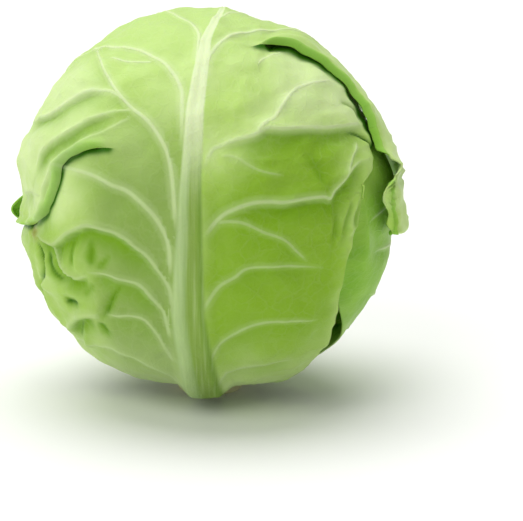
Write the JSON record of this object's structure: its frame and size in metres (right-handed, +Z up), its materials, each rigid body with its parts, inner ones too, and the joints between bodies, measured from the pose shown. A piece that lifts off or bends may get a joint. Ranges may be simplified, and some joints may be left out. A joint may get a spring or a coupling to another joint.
{
  "type": "cabbage head",
  "caption": "Round head of green cabbage: broad wrapper leaves with a thick midrib, folded margins and side veins, wrapped over a dense heart on a short cut stem.",
  "frame": {"origin": "middle of the stem's cut face, on which the head stands", "axes": "+Z up along the stem towards the crown; the outermost leaf's back, with its thick midrib, looks towards -Y; +X is to its right"},
  "size_m": [0.1809, 0.1747, 0.1747],
  "materials": {
    "leaf_front": "fresh waxy cabbage leaf, light green with paler veins",
    "leaf_back": "fresh waxy cabbage leaf, light green with paler veins",
    "leaf_left": "fresh waxy cabbage leaf, pale green",
    "leaf_right": "fresh waxy cabbage leaf, pale green",
    "heart": "tight inner leaves, whitish green",
    "stem": "cut cabbage stem, moist and creamy white"
  },
  "bodies": {
    "root": {"leaf_front": "leaf_front", "leaf_back": "leaf_back", "leaf_left": "leaf_left", "leaf_right": "leaf_right", "heart": "heart", "stem": "stem"}
  },
  "joints": []
}
